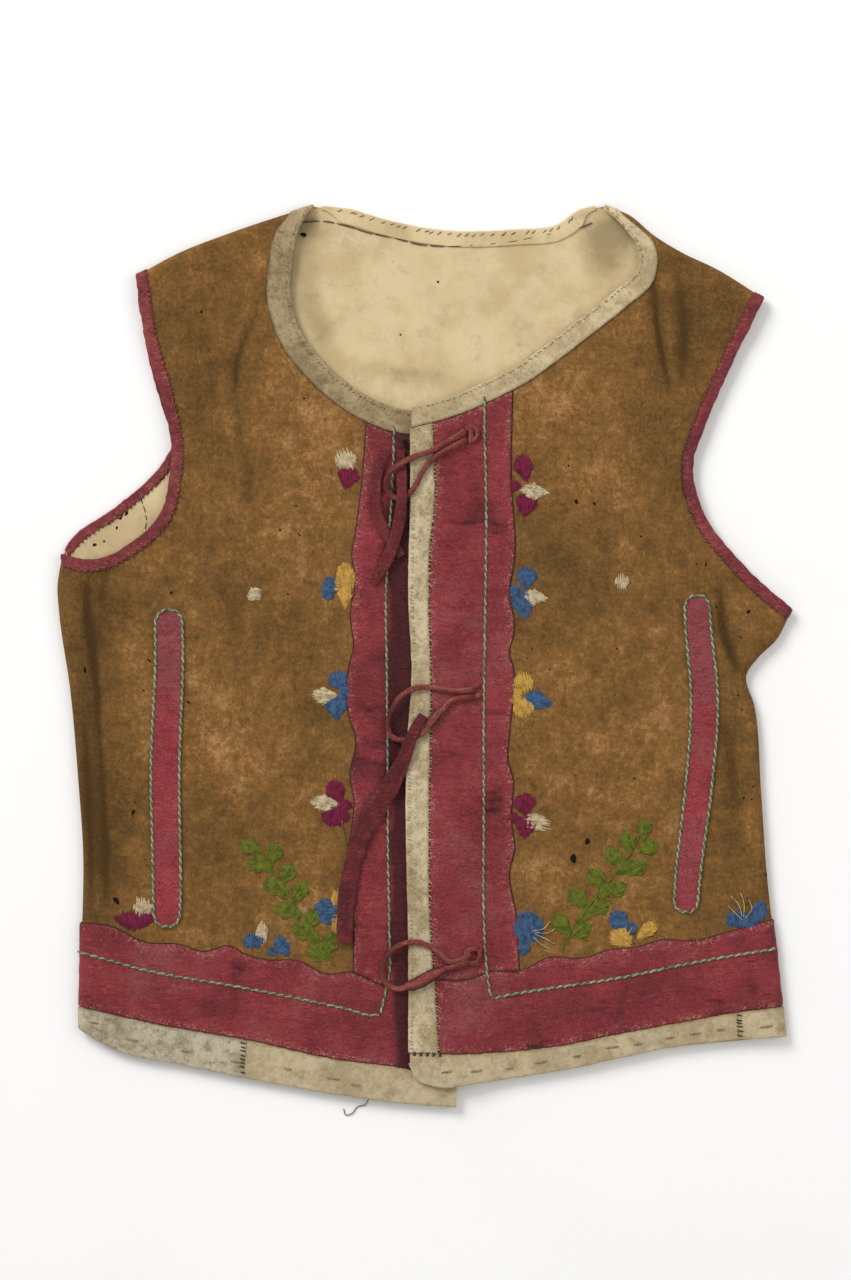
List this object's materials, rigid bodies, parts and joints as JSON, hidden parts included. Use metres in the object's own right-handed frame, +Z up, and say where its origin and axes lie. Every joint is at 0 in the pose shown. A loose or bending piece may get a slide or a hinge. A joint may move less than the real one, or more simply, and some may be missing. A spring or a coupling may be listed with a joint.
{
  "type": "folk vest",
  "caption": "Sleeveless leather vest laid flat: open front with ties, banded fronts and hem, bound neck and armholes, long pocket strips.",
  "frame": {"origin": "middle of the laid-out vest, on the surface it lies on", "axes": "+Z up from the surface, +Y towards the neck, +X towards the wearer's left side"},
  "size_m": [0.459, 0.564, 0.0156],
  "materials": {
    "brown_suede": "brushed suede, mottled and worn",
    "cream_leather": "undyed suede, aged",
    "red_leather": "smooth dyed leather, creased",
    "tie_leather": "smooth dyed thong"
  },
  "bodies": {
    "root": {"back": "cream_leather", "front_right": "brown_suede", "front_left": "brown_suede", "neck_binding_right": "cream_leather", "neck_binding_left": "cream_leather", "neck_binding_back": "cream_leather", "armhole_binding_front_right": "red_leather", "armhole_binding_front_left": "red_leather", "armhole_binding_back_right": "red_leather", "armhole_binding_back_left": "red_leather", "hem_strip_right_front": "cream_leather", "hem_strip_right_side": "cream_leather", "hem_strip_left_front": "cream_leather", "hem_strip_left_side": "cream_leather", "hem_strip_back": "cream_leather", "front_edge_strip": "cream_leather", "hem_band_right": "red_leather", "hem_band_left": "red_leather", "front_band_right": "red_leather", "front_band_left": "red_leather", "pocket_strip_right": "red_leather", "pocket_strip_left": "red_leather", "tie_loop_top": "tie_leather", "tie_loop_middle": "tie_leather", "tie_loop_bottom": "tie_leather", "tie_end_top_inner": "tie_leather", "tie_end_top_outer": "tie_leather", "tie_end_middle": "tie_leather"}
  },
  "joints": []
}
